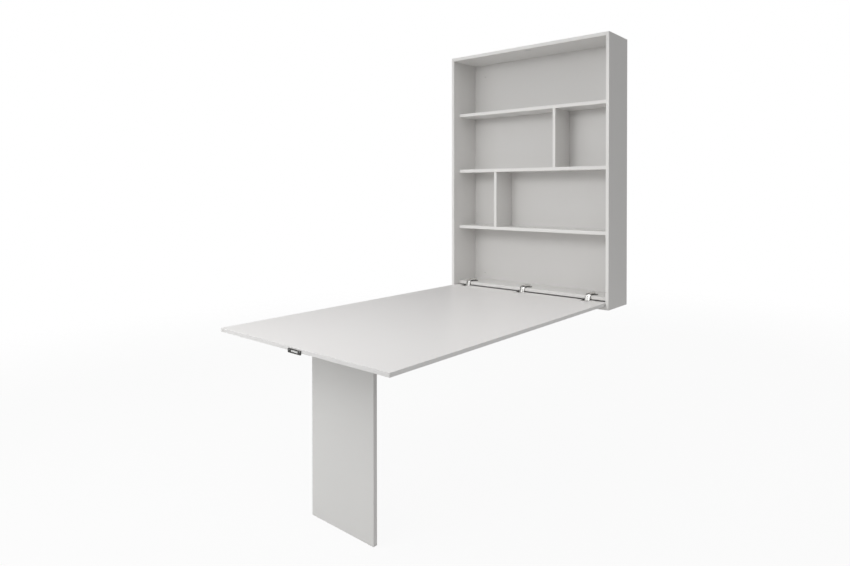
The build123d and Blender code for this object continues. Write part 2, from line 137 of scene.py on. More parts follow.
def foilPaint(name, colour, node, bandFace=None):
    low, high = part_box(node)
    middle = (low + high) / 2
    reach = (high - low) / 2
    paint, tree, shader, place = newPaint(name, colour, foil["gloss"])
    fromMiddle = put(tree, "VectorMath", {0: place, 1: middle}, operation="SUBTRACT").outputs[0]
    outward = put(tree, "VectorMath", {0: fromMiddle}, operation="ABSOLUTE").outputs[0]
    toFace = put(tree, "VectorMath", {0: reach, 1: outward}, operation="SUBTRACT").outputs[0]
    split = put(tree, "SeparateXYZ", {0: toFace}).outputs
    nearer = calc(tree, "MINIMUM", split[0], split[1])
    farther = calc(tree, "MAXIMUM", split[0], split[1])
    # distance to the nearest arris
    arris = calc(tree, "MAXIMUM", nearer, calc(tree, "MINIMUM", farther, split[2]))
    drift = cloud(tree, place, foil["driftSize"])
    pearl = cloud(tree, place, foil["pearlSize"], 1.0)
    peel = cloud(tree, place, foil["peelSize"], 1.0)
    patchy = spread(tree, cloud(tree, place, foil["patchSize"]), 0.42, 0.62, 0.0, 1.0)
    rubbed = calc(tree, "MULTIPLY", spread(tree, arris, 0.0, foil["wearReach"], 1.0, 0.0), patchy)
    factor = calc(tree, "SUBTRACT", 1.0 + foil["drift"] / 2, calc(tree, "MULTIPLY", drift, foil["drift"]))
    factor = calc(tree, "SUBTRACT", factor, calc(tree, "MULTIPLY", rubbed, foil["wear"]))
    if bandFace is not None:
        axis, side = bandFace
        face = (low, high)[side > 0][axis]
        along = put(tree, "SeparateXYZ", {0: place}).outputs[axis]
        inFrom = calc(tree, "ABSOLUTE", calc(tree, "SUBTRACT", along, face))
        joint = calc(tree, "COMPARE", inFrom, foil["band"], foil["joint"])
        factor = calc(tree, "SUBTRACT", factor, calc(tree, "MULTIPLY", joint, foil["jointDark"]))
        # painted highlight: the band on the chosen face is made lighter
        bandHighlightMask = calc(tree, "LESS_THAN", inFrom, foil["band"])
        factor = calc(tree, "ADD", factor, calc(tree, "MULTIPLY", bandHighlightMask, foil["bandHighlight"]))
    tint(tree, shader, colour, factor)
    sheen = calc(tree, "ADD", foil["gloss"] - foil["glossDrift"] / 2,
                 calc(tree, "MULTIPLY", peel, foil["glossDrift"]))
    sheen = calc(tree, "ADD", sheen, calc(tree, "MULTIPLY", rubbed, foil["wearRough"]))
    tree.links.new(sheen, shader.inputs["Roughness"])
    rough(tree, shader, calc(tree, "ADD", pearl, peel), foil["pearlDepth"])
    return paint


# Thick edge band: scraper lines along it and a touch more gloss than the foil
bandLook = {
    "table": (0.86, 0.85, 0.84),
    "leg": (0.76, 0.75, 0.74),
    "gloss": 0.3,
    "lines": 700.0,
    "smudge": 9.0,
    "depth": 0.000015,
}


def bandPaint(name, colour):
    paint, tree, shader, place = newPaint(name, colour, bandLook["gloss"])
    lines = cloud(tree, place, bandLook["lines"], 2.0, (0.02, 0.02, 1.0))
    smudge = cloud(tree, place, bandLook["smudge"])
    tint(tree, shader, colour, spread(tree, smudge, 0.3, 0.7, 1.0, 0.975))
    tree.links.new(spread(tree, lines, 0.3, 0.7, 0.26, 0.38), shader.inputs["Roughness"])
    rough(tree, shader, lines, bandLook["depth"])
    return paint


# Metals: plating with drawn lines, handling haze and darker pits
metals = {
    "drawn": 900.0,
    "haze": 60.0,
    "pitSize": 420.0,
    "depth": 0.00002,
    "nickel": {"colour": (0.83, 0.82, 0.80), "low": 0.14, "high": 0.26, "pits": 0.10},
    "zinc": {"colour": (0.60, 0.61, 0.63), "low": 0.28, "high": 0.45, "pits": 0.25},
}


def metalPaint(name):
    look = metals[name]
    paint, tree, shader, place = newPaint(name, look["colour"], look["low"], 1.0)
    drawn = cloud(tree, place, metals["drawn"], 2.0, (0.05, 1, 1))
    haze = cloud(tree, place, metals["haze"], 3.0)
    pits = spread(tree, cloud(tree, place, metals["pitSize"], 1.0), 0.60, 0.72, 1.0, 1.0 - look["pits"])
    tint(tree, shader, look["colour"], pits)
    tree.links.new(spread(tree, haze, 0.3, 0.7, look["low"], look["high"]), shader.inputs["Roughness"])
    rough(tree, shader, drawn, metals["depth"], 0.25)
    return paint


# Dark satin coat on the pull and the hinge mounts: cast grain, with rubbed high spots
coat = {
    "colour": (0.085, 0.083, 0.08),
    "gloss": 0.36,
    "metal": 0.55,
    "grain": 650.0,
    "rubSize": 120.0,
    "depth": 0.00006,
}


def coatPaint(name):
    paint, tree, shader, place = newPaint(name, coat["colour"], coat["gloss"], coat["metal"])
    grain = cloud(tree, place, coat["grain"], 2.0)
    rubbed = spread(tree, cloud(tree, place, coat["rubSize"]), 0.45, 0.75, 1.0, 1.7)
    tint(tree, shader, coat["colour"], rubbed)
    tree.links.new(spread(tree, grain, 0.3, 0.7, 0.3, 0.46), shader.inputs["Roughness"])
    rough(tree, shader, grain, coat["depth"])
    return paint


plastics = {
    "skin": 1200.0,
    "scuff": 90.0,
    "depth": 0.00003,
    "magnetCase": {"colour": (0.74, 0.74, 0.72), "gloss": 0.4},
    "glideNylon": {"colour": (0.76, 0.75, 0.71), "gloss": 0.48},
}


def plasticPaint(name):
    look = plastics[name]
    paint, tree, shader, place = newPaint(name, look["colour"], look["gloss"])
    skin = cloud(tree, place, plastics["skin"], 1.0)
    scuff = spread(tree, cloud(tree, place, plastics["scuff"], 3.0), 0.5, 0.7, 1.0, 0.9)
    tint(tree, shader, look["colour"], scuff)
    sheen = spread(tree, skin, 0.3, 0.7, look["gloss"] - 0.05, look["gloss"] + 0.08)
    tree.links.new(sheen, shader.inputs["Roughness"])
    rough(tree, shader, skin, plastics["depth"])
    return paint


beechLook = {
    "light": (0.60, 0.42, 0.26, 1),
    "dark": (0.42, 0.27, 0.15, 1),
    "rough": 0.6,
    "rings": 90.0,
    "fleck": 260.0,
    "depth": 0.00008,
}


def beechPaint(name):
    paint, tree, shader, place = newPaint(name, beechLook["light"][:3], beechLook["rough"])
    rings = cloud(tree, place, beechLook["rings"], 3.0, (0.15, 1, 1))
    fleck = cloud(tree, place, beechLook["fleck"], 1.0, (0.1, 1, 1))
    mix = put(tree, "Mix", {"Factor": rings, 6: beechLook["light"], 7: beechLook["dark"]}, data_type="RGBA")
    tree.links.new(mix.outputs[2], shader.inputs["Base Color"])
    rough(tree, shader, fleck, beechLook["depth"])
    return paint


# helpers for shapes: a shape is a list of points and a list of faces

def newShape():
    return {"points": [], "faces": []}


def addPart(shape, points, faces, place=Matrix()):
    first = len(shape["points"])
    shape["points"] += [place @ Vector(p) for p in points]
    shape["faces"] += [[first + i for i in face] for face in faces]


def addLathe(shape, profile, place, steps=32):
    # the profile runs (radius, height) from axis to axis
    points, faces = [], []
    rings = []
    for radius, height in profile:
        if radius < 1e-7:
            rings.append([len(points)] * steps)
            points.append((0, 0, height))
        else:
            rings.append([len(points) + i for i in range(steps)])
            turn = [2 * math.pi * i / steps for i in range(steps)]
            points += [(radius * math.cos(a), radius * math.sin(a), height) for a in turn]
    for lower, upper in zip(rings, rings[1:]):
        for i in range(steps):
            j = (i + 1) % steps
            corners = [lower[i], lower[j], upper[j], upper[i]]
            face = [c for k, c in enumerate(corners) if c not in corners[:k]]
            if len(face) > 2:
                faces.append(face)
    addPart(shape, points, faces, place)


def addTube(shape, outer, inner, length, place, bevel=0.0003, steps=40):
    # a ring section turned round the axis, with its four corners eased
    section = [
        (outer, bevel), (outer - bevel, 0), (inner + bevel, 0), (inner, bevel),
        (inner, length - bevel), (inner + bevel, length), (outer - bevel, length), (outer, length - bevel),
    ]
    points, faces = [], []
    count = len(section)
    for i in range(steps):
        a = 2 * math.pi * i / steps
        points += [(r * math.cos(a), r * math.sin(a), z) for r, z in section]
    for i in range(steps):
        j = (i + 1) % steps
        for k in range(count):
            m = (k + 1) % count
            faces.append([i * count + k, i * count + m, j * count + m, j * count + k])
    addPart(shape, points, faces, place)


def addSweep(shape, loops):
    # closed loops of equal length, joined one to the next and capped
    count = len(loops[0])
    points = [p for loop in loops for p in loop]
    faces = []
    for i in range(len(loops) - 1):
        for k in range(count):
            m = (k + 1) % count
            faces.append([i * count + k, i * count + m, (i + 1) * count + m, (i + 1) * count + k])
    half = count // 2
    for start in (0, (len(loops) - 1) * count):  # the caps follow the section as a strip
        last = start + count - 1
        faces += [[start + k, start + k + 1, last - 1 - k, last - k] for k in range(half - 1)]
    addPart(shape, points, faces)


def addPlate(shape, outline, holes, thick, place, bevel=0.0003):
    curve = bpy.data.curves.new("plate", "CURVE")
    curve.dimensions = "2D"
    curve.fill_mode = "BOTH"
    curve.extrude = thick / 2 - bevel
    curve.bevel_depth = bevel
    curve.bevel_resolution = 2
    curve.offset = -bevel
    for ring in [outline, *[hole[::-1] for hole in holes]]:
        spline = curve.splines.new("POLY")
        spline.points.add(len(ring) - 1)
        for point, (x, y) in zip(spline.points, ring):
            point.co = (x, y, 0, 1)
        spline.use_cyclic_u = True
    holder = bpy.data.objects.new("plate", curve)
    flat = bpy.data.meshes.new_from_object(holder)
    lift = place @ Matrix.Translation((0, 0, thick / 2))
    addPart(shape, [v.co for v in flat.vertices], [list(p.vertices) for p in flat.polygons], lift)
    bpy.data.objects.remove(holder)
    bpy.data.curves.remove(curve)
    bpy.data.meshes.remove(flat)


def circle(x, y, radius, steps=28):
    turn = [2 * math.pi * i / steps for i in range(steps)]
    return [(x + radius * math.cos(a), y + radius * math.sin(a)) for a in turn]


def roundedBox(x0, x1, y0, y1, radius, steps=6):
    corners = [(x1 - radius, y1 - radius, 0), (x0 + radius, y1 - radius, 90),
               (x0 + radius, y0 + radius, 180), (x1 - radius, y0 + radius, 270)]
    points = []
    for x, y, start in corners:
        for i in range(steps + 1):
            a = math.radians(start + 90 * i / steps)
            points.append((x + radius * math.cos(a), y + radius * math.sin(a)))
    return points


def upsideDown(outline):
    # for a plate that stands alongY, whose outline is turned over in height
    return [(x, -y) for x, y in reversed(outline)]


# Ways to stand a flat shape or a turned one in the frame
alongX = Matrix(((0, 0, 1, 0), (1, 0, 0, 0), (0, 1, 0, 0), (0, 0, 0, 1)))  # local x, y, z go to Y, Z, X
alongY = Matrix(((1, 0, 0, 0), (0, 0, 1, 0), (0, -1, 0, 0), (0, 0, 0, 1)))  # local z points to +Y
towardRoom = Matrix(((1, 0, 0, 0), (0, 0, -1, 0), (0, 1, 0, 0), (0, 0, 0, 1)))  # local z points to -Y
downward = Matrix(((1, 0, 0, 0), (0, -1, 0, 0), (0, 0, -1, 0), (0, 0, 0, 1)))  # local z points to -Z


def at(x, y, z, stand=Matrix()):
    return Matrix.Translation((x, y, z)) @ stand


def makePiece(name, shape, paint, body, slot, *nodes):
    mesh = bpy.data.meshes.new(name)
    mesh.from_pydata([tuple(p) for p in shape["points"]], [], shape["faces"])
    work = bmesh.new()
    work.from_mesh(mesh)
    bmesh.ops.remove_doubles(work, verts=work.verts, dist=2e-6)
    bmesh.ops.recalc_face_normals(work, faces=work.faces)
    work.to_mesh(mesh)
    work.free()
    mesh.polygons.foreach_set("use_smooth", [True] * len(mesh.polygons))
    mesh.set_sharp_from_angle(angle=math.radians(38))
    mesh.materials.append(paint)
    piece = bpy.data.objects.new(name, mesh)
    bpy.context.scene.collection.objects.link(piece)
    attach(piece, body)
    if nodes:
        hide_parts(*nodes)
    return piece


# screws and other turned fittings

screwLook = {
    "recessReach": 0.56,    # as shares of the head's radius
    "recessHalf": 0.12,
    "recessDepth": 0.34,
    "sideSoft": 0.04,
    "endSoft": 0.08,
    "dome": 0.55,           # share of the rise that is lost at the rim
    "pitch": 0.0014,
    "root": 0.78,           # thread root as a share of the crest
    "neck": 0.12,           # plain length below the head, as a share of the whole
}


def addHead(shape, radius, rise, place, reach=None, rings=11, steps=48):
    # a domed head as a round grid, with the cross recess pressed into it
    reach = reach or screwLook["recessReach"]
    points = [(0, 0, rise - screwLook["recessDepth"] * radius)]
    faces = []
    for k in range(1, rings + 1):
        share = k / rings
        for i in range(steps):
            a = 2 * math.pi * i / steps
            u, v = share * math.cos(a), share * math.sin(a)
            dome = rise * (1 - screwLook["dome"] * share ** 4)
            across, along = min(abs(u), abs(v)), max(abs(u), abs(v))
            inSlot = max(0, min(1, (screwLook["recessHalf"] - across) / screwLook["sideSoft"] + 0.5))
            inSlot *= max(0, min(1, (reach - along) / screwLook["endSoft"] + 0.5))
            sunk = inSlot * screwLook["recessDepth"] * radius * (1 - along * 0.6)
            points.append((radius * u, radius * v, dome - sunk))
    last = len(points)
    points += [(x, y, 0) for x, y in circle(0, 0, radius, steps)]
    for i in range(steps):
        j = (i + 1) % steps
        faces.append([0, 1 + i, 1 + j])
        for k in range(rings - 1):
            low, high = 1 + k * steps, 1 + (k + 1) * steps
            faces.append([low + i, high + i, high + j, low + j])
        rim = last - steps
        faces.append([rim + i, last + i, last + j, rim + j])
    faces.append([last + i for i in reversed(range(steps))])
    addPart(shape, points, faces, place)


def addShank(shape, radius, length, place):
    # runs down from the head: a plain neck, thread crests and a point
    root, pitch = radius * screwLook["root"], screwLook["pitch"]
    height = -screwLook["neck"] * length
    profile = [(0, 0), (root, 0), (root, height)]
    while height > -length + 3 * pitch:
        profile += [(radius, height - pitch / 2), (root, height - pitch)]
        height -= pitch
    profile += [(root * 0.6, -length + pitch), (0, -length)]
    addLathe(shape, profile, place, 20)


def addPin(shape, radius, reach, crown, rounding, place, steps=32):
    # a plain pin with softly domed ends
    profile = [(0, 0), (0.6 * radius, crown), (radius, rounding), (radius, reach - rounding)]
    addLathe(shape, profile + [(0.6 * radius, reach - crown), (0, reach)], place, steps)


def screwRow(name, places, radius, rise, shank, length, body, node, paint, slot="zinc"):
    shape = newShape()
    for place in places:
        addHead(shape, radius, rise, place)
        addShank(shape, shank, length, place)
    return makePiece(name, shape, paint, body, slot, node)


nickel = metalPaint("nickel")
zinc = metalPaint("zinc")
darkCoat = coatPaint("darkCoat")
magnetCase = plasticPaint("magnetCase")
glideNylon = plasticPaint("glideNylon")
beech = beechPaint("beech")
print("metals, coats and plastics mixed")


# boards: the frame's own solids, each with a foil laid to its own size

def dress(node, paint):
    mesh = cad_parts[node].data
    mesh.materials.clear()
    mesh.materials.append(paint)


frontBanded = ["side_panel_left", "side_panel_right", "top_panel", "bottom_panel", "hinge_shelf",
               "shelf_upper", "shelf_middle", "shelf_lower", "divider_upper", "divider_lower"]
for board in frontBanded:
    dress(board, foilPaint("foil." + board, foil["cabinet"], board, (1, -1)))
dress("back_panel", foilPaint("foil.back", foil["back"], "back_panel"))
dress("table_top", foilPaint("foil.table", foil["table"], "table_top"))
dress("leg_panel", foilPaint("foil.leg", foil["leg"], "leg_panel"))
dress("table_edge_band", bandPaint("band.table", bandLook["table"]))
dress("leg_edge_band", bandPaint("band.leg", bandLook["leg"]))
dress("dowels", beech)
dress("cam_bolts", zinc)
print("boards dressed")


# cam locks, magnet and back screws

camLook = {
    "radius": 7.5 * mm,
    "depth": 13 * mm,
    "rise": 0.1 * mm,
    "sunk": 0.4 * mm,       # how far the face lies below the board
    "inset": 24 * mm,
    "rowInset": 25 * mm,
    "recess": 0.62,
}


def buildCams():
    # two cams near each end of a board, one to the front and one to the back, so their places
    # follow from the board that they lock
    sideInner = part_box("side_panel_right")[0].x
    shape = newShape()
    upward = {"top_panel", "shelf_upper", "shelf_middle"}
    for board in frontBanded[2:8]:
        low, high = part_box(board)
        rows = (low.y + camLook["rowInset"], high.y - camLook["rowInset"])
        for side in (-1, 1):
            x = side * (sideInner - camLook["inset"])
            for y in rows:
                up = board in upward
                below = camLook["rise"] + camLook["sunk"]
                place = at(x, y, high.z - below) if up else at(x, y, low.z + below, downward)
                addHead(shape, camLook["radius"], camLook["rise"], place, camLook["recess"], 12, 48)
                body = camLook["depth"] - 1 * mm
                rim = camLook["radius"]
                waist = 0.86 * rim  # the groove that the bolt's head turns in
                upper = [(0, 0), (rim, 0), (rim, -0.3 * body), (waist, -0.34 * body)]
                lower = [(waist, -0.8 * body), (rim, -0.84 * body), (rim, -body), (0, -body)]
                addLathe(shape, upper + lower, place)
    return makePiece("camLocks", shape, zinc, "cabinet", "zinc", "cam_locks")


magnetLook = {
    "corner": 1.5 * mm,
    "poleInset": 4 * mm,
    "poleThick": 1.6 * mm,
    "poleRows": (-2.6 * mm, 1.0 * mm),
}


def buildMagnet():
    low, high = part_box("catch_magnet")
    shape = newShape()
    outline = roundedBox(low.x, high.x, low.y, high.y, magnetLook["corner"])
    addPlate(shape, outline, [], high.z - low.z, at(0, 0, low.z), 0.5 * mm)
    case = makePiece("magnetCase", shape, magnetCase, "cabinet", "magnet_case", "catch_magnet")
    poles = newShape()
    middle = (low.y + high.y) / 2
    inset, poleThick = magnetLook["poleInset"], magnetLook["poleThick"]
    for row in magnetLook["poleRows"]:  # two steel pole plates a little proud of the case
        y = middle + row
        outline = roundedBox(low.x + inset, high.x - inset, y, y + poleThick, 0.5 * mm)
        addPlate(poles, outline, [], 0.8 * mm, at(0, 0, low.z - 0.3 * mm), 0.15 * mm)
    makePiece("magnetPoles", poles, zinc, "cabinet", "zinc")
    return case


backScrewLook = {"head": 3.5 * mm, "shank": 1.7 * mm, "columnStep": 280 * mm, "rowStep": 300 * mm}


def buildBackScrews():
    low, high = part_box("back_screws")
    headRadius = backScrewLook["head"]
    sideX = high.x - headRadius
    endZ = high.z - headRadius
    columns = [(side * sideX, backScrewLook["columnStep"] * i) for side in (-1, 1) for i in range(-2, 3)]
    rows = [(backScrewLook["rowStep"] * i, side * endZ) for side in (-1, 1) for i in range(-1, 2)]
    places = [at(x, high.y - 0.9 * mm, z, alongY) for x, z in columns + rows]
    length = high.y - low.y - 1.5 * mm
    return screwRow("backScrews", places, headRadius, 0.8 * mm, backScrewLook["shank"], length,
                    "cabinet", "back_screws", zinc)


buildCams()
buildMagnet()
buildBackScrews()
print("cabinet fittings made")


# table hinges

armLook = {
    "lean": 12.7 * mm,     # how far the crank leans back over the shelf
    "bend": 18 * mm,
    "crankWidth": 30 * mm,
    "armWidth": 20 * mm,
    "plate": 1.8 * mm,
    "halfPlate": 1.25 * mm,
    "crown": 1.5 * mm,
    "turnedEdge": 3.6 * mm,
    "channel": 10 * mm,
    "knuckle": 4.7 * mm,
    "pin": 2.5 * mm,
    "pinBore": 2.6 * mm,
}
mountLook = {
    "screwX": 24 * mm,
    "screwHole": 2.3 * mm,
    "wingHalf": 9 * mm,
    "wingThick": 3 * mm,
    "railHalf": 7.6 * mm,
    "step": 5 * mm,         # height of the rail's wide foot
    "shoulder": 1.2 * mm,   # how much narrower it is above
}
bracketLook = {
    "foot": 13 * mm,
    "plate": 2 * mm,
    "cheek": 2.5 * mm,
    "cheekLow": 4.2 * mm,   # how far the cheeks reach below the pin, and above it at the plate
    "cheekHigh": 8 * mm,
    "gap": 0.4 * mm,
    "screwX": 8 * mm,
    "ease": 0.3 * mm,
}
hingeNumbers = (1, 2, 3)


def channelSection(width, flange, crown, corner, depth):
    # half of a pressed channel's outline, left lip to right lip, as (across, inward)
    edge = width / 2
    points = [(-edge, flange), (-edge, depth + crown + corner)]
    for i in range(1, 4):
        a = math.radians(90 * i / 4)
        points.append((-edge + corner * (1 - math.cos(a)), depth + crown + corner * (1 - math.sin(a))))
    for i in range(9):
        t = -1 + i / 4
        points.append((t * (edge - corner), depth + crown * t * t))
    return points + [(-x, d) for x, d in reversed(points[:5])]


def crankLoops(centre, pivot, top, back):
    # stations along the crank: up from the pivot, round the bend, then back along the shelf
    corner = Vector((pivot.y + armLook["lean"], top - armLook["halfPlate"]))
    start = Vector((pivot.y, pivot.z))
    rising = (corner - start).normalized()
    turn = math.acos(rising.x)
    tangent = armLook["bend"] * math.tan(turn / 2)
    bendFrom = corner - rising * tangent
    bendMiddle = Vector((corner.x + tangent, corner.y - armLook["bend"]))
    stations = []
    lower = start + rising * 3.5 * mm
    for i in range(7):
        spot = lower.lerp(bendFrom, i / 6)
        stations.append((spot, Vector((-rising.y, rising.x)), 0.0))
    for i in range(1, 15):
        a = turn * (1 - i / 14)
        outward = Vector((-math.sin(a), math.cos(a)))
        stations.append((bendMiddle + outward * armLook["bend"], outward, i / 14))
    straight = back - (corner.x + tangent)
    for i in range(1, 5):
        stations.append((Vector((corner.x + tangent + straight * i / 4, corner.y)), Vector((0, 1)), 1.0))
    loops = []
    for spot, outward, share in stations:
        ease = max(0.0, min(1.0, (share - 0.35) / 0.6))
        ease = ease * ease * (3 - 2 * ease)
        width = armLook["crankWidth"] + (armLook["armWidth"] - armLook["crankWidth"]) * ease
        flange = armLook["turnedEdge"] + (armLook["channel"] - armLook["turnedEdge"]) * ease
        crown = armLook["crown"] * (1 - 0.6 * ease)
        plate = armLook["plate"]
        outer = channelSection(width, flange, crown, 1.5 * mm, 0.0)
        inner = channelSection(width - 2 * plate, flange, crown, 0.5 * mm, plate)
        skin = spot + outward * armLook["halfPlate"]
        loops.append([(centre + x, *(skin - outward * d)) for x, d in outer + inner[::-1]])
    return loops


def buildHinge(number):
    low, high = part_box(f"hinge_arm_{number}")
    pinLow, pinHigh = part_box(f"hinge_pin_{number}")
    pivot = (pinLow + pinHigh) / 2
    centre = pivot.x
    arm = newShape()
    addSweep(arm, crankLoops(centre, pivot, high.z, high.y))
    place = at(low.x, pivot.y, pivot.z, alongX)
    addTube(arm, armLook["knuckle"], armLook["pinBore"], high.x - low.x, place)
    makePiece(f"hingeArm{number}", arm, nickel, "cabinet", "nickel", f"hinge_arm_{number}")

    pin = newShape()
    place = at(pinLow.x, pivot.y, pivot.z, alongX)
    addPin(pin, armLook["pin"], pinHigh.x - pinLow.x, 0.1 * mm, 0.7 * mm, place)
    makePiece(f"hingePin{number}", pin, zinc, "cabinet", "nickel", f"hinge_pin_{number}")

    # mounting plate: two wings and a stepped rail that the arm straddles
    mountLow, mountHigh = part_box(f"hinge_mount_{number}")
    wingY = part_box("hinge_mount_screws")[0].y + 3.8 * mm
    mount = newShape()
    wingHalf, railHalf = mountLook["wingHalf"], mountLook["railHalf"]
    wing = roundedBox(mountLow.x, mountHigh.x, wingY - wingHalf, wingY + wingHalf, wingHalf - 1 * mm, 10)
    holes = [circle(centre + side * mountLook["screwX"], wingY, mountLook["screwHole"]) for side in (-1, 1)]
    addPlate(mount, wing, holes, mountLook["wingThick"], at(0, 0, mountLow.z), 0.5 * mm)
    full = mountHigh.z - mountLow.z
    step = mountLook["step"]
    for shrink, base, thick in ((0.0, 0.0, step), (mountLook["shoulder"], step, full - step)):
        rail = roundedBox(centre - railHalf + shrink, centre + railHalf - shrink,
                          mountLow.y + shrink / 2, mountHigh.y - shrink / 2, 2 * mm)
        addPlate(mount, rail, [], thick, at(0, 0, mountLow.z + base), 0.4 * mm)
    makePiece(f"hingeMount{number}", mount, darkCoat, "cabinet", "dark_metal", f"hinge_mount_{number}")

    # clevis bracket in the table's notch
    bracketLow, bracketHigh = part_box(f"hinge_bracket_{number}")
    base = newShape()
    foot = roundedBox(bracketLow.x, bracketHigh.x, bracketHigh.z - bracketLook["foot"], bracketHigh.z, 2 * mm)
    screwZ = bracketHigh.z - bracketLook["foot"] / 2
    holes = [circle(centre + side * bracketLook["screwX"], screwZ, 1.9 * mm) for side in (-1, 1)]
    place = at(0, bracketLow.y, 0, alongY)
    holes = [upsideDown(hole) for hole in holes]
    addPlate(base, upsideDown(foot), holes, bracketLook["plate"], place, bracketLook["ease"])
    cheekInner = (high.x - low.x) / 2 + bracketLook["gap"]
    knuckle, thick = armLook["knuckle"], bracketLook["cheek"]
    turn = [math.pi * i / 16 for i in range(17)]
    nose = [(pivot.y + knuckle * math.sin(a), pivot.z - knuckle * math.cos(a)) for a in turn]
    heel = bracketLow.y + 1.5 * mm
    cheek = [(heel, pivot.z - bracketLook["cheekLow"]), *nose, (heel, pivot.z + bracketLook["cheekHigh"])]
    for side in (-1, 1):
        x = centre + side * cheekInner - (thick if side < 0 else 0)
        bore = circle(pivot.y, pivot.z, armLook["pin"] + 0.05 * mm)
        addPlate(base, cheek, [bore], thick, at(x, 0, 0, alongX), bracketLook["ease"])
    makePiece(f"hingeBracket{number}", base, nickel, "table", "nickel", f"hinge_bracket_{number}")


def hingeCentres():
    boxes = [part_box(f"hinge_pin_{n}") for n in hingeNumbers]
    return [(low.x + high.x) / 2 for low, high in boxes]


def buildHingeScrews():
    low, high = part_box("hinge_arm_screws")
    rows = (low.y + 4 * mm, high.y - 4 * mm)
    places = [at(x, y, high.z - 2.1 * mm) for x in hingeCentres() for y in rows]
    screwRow("hingeArmScrews", places, 4 * mm, 1.7 * mm, 2 * mm, 11 * mm,
             "cabinet", "hinge_arm_screws", zinc)
    low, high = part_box("hinge_mount_screws")
    wingY = (low.y + high.y) / 2
    screwX = mountLook["screwX"]
    places = [at(x + side * screwX, wingY, high.z - 1.8 * mm) for x in hingeCentres() for side in (-1, 1)]
    screwRow("hingeMountScrews", places, 3.8 * mm, 1.4 * mm, 2 * mm, 14 * mm,
             "cabinet", "hinge_mount_screws", zinc)
    low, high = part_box("hinge_bracket_screws")
    places = [at(x + side * bracketLook["screwX"], high.y - 1.3 * mm, (low.z + high.z) / 2, alongY)
              for x in hingeCentres() for side in (-1, 1)]
    screwRow("hingeBracketScrews", places, 3 * mm, 1.1 * mm, 1.75 * mm, 23 * mm,
             "table", "hinge_bracket_screws", zinc)


for number in hingeNumbers:
    buildHinge(number)
buildHingeScrews()
print("table hinges made")


# pull on the table's free edge

pullLook = {
    "rail": 4 * mm,
    "window": 22 * mm,
    "corner": 3 * mm,
    "ease": 0.8 * mm,
    "lip": 1.3 * mm,
    "screwX": 33 * mm,
    "seat": 3.3 * mm,
}


def buildPull():
    low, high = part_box("pull_frame")
    middle = (low.x + high.x) / 2
    frontUp = at(0, high.y, 0, towardRoom)
    shape = newShape()
    outline = roundedBox(low.x, high.x, low.z, high.z, pullLook["corner"], 8)
    window = roundedBox(middle - pullLook["window"], middle + pullLook["window"],
                        low.z + pullLook["rail"], high.z - pullLook["rail"], 1.5 * mm)
    screwLow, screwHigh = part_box("pull_screws")
    seatZ = (screwLow.z + screwHigh.z) / 2
    seatX = [middle + side * pullLook["screwX"] for side in (-1, 1)]
    seats = [circle(x, seatZ, pullLook["seat"]) for x in seatX]
    addPlate(shape, outline, [window, *seats], high.y - low.y, frontUp, pullLook["ease"])
    lipHalf, lipRail = pullLook["window"] + pullLook["lip"], pullLook["rail"] - pullLook["lip"]
    lip = roundedBox(middle - lipHalf, middle + lipHalf, low.z + lipRail, high.z - lipRail, 2.2 * mm)
    addPlate(shape, lip, [window], high.y - low.y, frontUp, 0.3 * mm)  # crisp lip round the window
    for x in seatX:  # floor of each screw seat
        addTube(shape, 3.4 * mm, 1.5 * mm, 1.8 * mm, at(x, high.y, seatZ, towardRoom), 0.2 * mm)
    makePiece("pullFrame", shape, darkCoat, "table", "dark_metal", "pull_frame")

    barLow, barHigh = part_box("pull_strike_bar")
    bar = newShape()
    outline = roundedBox(barLow.x, barHigh.x, barLow.z, barHigh.z, 1.3 * mm)
    addPlate(bar, outline, [], barHigh.y - barLow.y, at(0, barHigh.y, 0, towardRoom), 0.7 * mm)
    makePiece("pullStrikeBar", bar, paintedHighlightBar, "table", "nickel", "pull_strike_bar")

    places = [at(x, screwLow.y + 1.4 * mm, seatZ, towardRoom) for x in seatX]
    length = screwHigh.y - screwLow.y - 1.5 * mm
    screwRow("pullScrews", places, 3.05 * mm, 1.2 * mm, 1.5 * mm, length, "table", "pull_screws", zinc)


# pale colour and little metal on the nickel strike bar: a painted highlight
barHighlightLook = {
    "colour": (0.90, 0.90, 0.89),
    "gloss": 0.3,
    "metal": 0.15,
    "lines": 800.0,
    "depth": 0.00002,
}


def barPaint(name):
    # nickel bar painted pale with little metal, a painted highlight, with faint lengthwise polishing lines
    colour, gloss = barHighlightLook["colour"], barHighlightLook["gloss"]
    paint, tree, shader, place = newPaint(name, colour, gloss, barHighlightLook["metal"])
    lines = cloud(tree, place, barHighlightLook["lines"], 2.0, (0.04, 1, 1))
    tint(tree, shader, colour, spread(tree, lines, 0.3, 0.7, 1.0, 0.95))
    tree.links.new(spread(tree, lines, 0.3, 0.7, 0.22, 0.34), shader.inputs["Roughness"])
    rough(tree, shader, lines, barHighlightLook["depth"])
    return paint


paintedHighlightBar = barPaint("paintedHighlightBar")
buildPull()
print("pull made")


# leg hinges and glides

legHinge = {
    "leaf": 1.5 * mm,
    "barrel": 3.7 * mm,
    "pin": 1.75 * mm,
    "gap": 0.3 * mm,
    "corner": 4 * mm,
    "hole": 1.8 * mm,
    "screws": ((-17 * mm, 13 * mm), (0, 22 * mm), (17 * mm, 13 * mm)),  # across the leaf, away from the pin
    "screwHead": 3 * mm,
    "screwRise": 0.9 * mm,
    "screwShank": 1.6 * mm,
    "screwLength": 12 * mm,
}
legHingeNumbers = (1, 2)


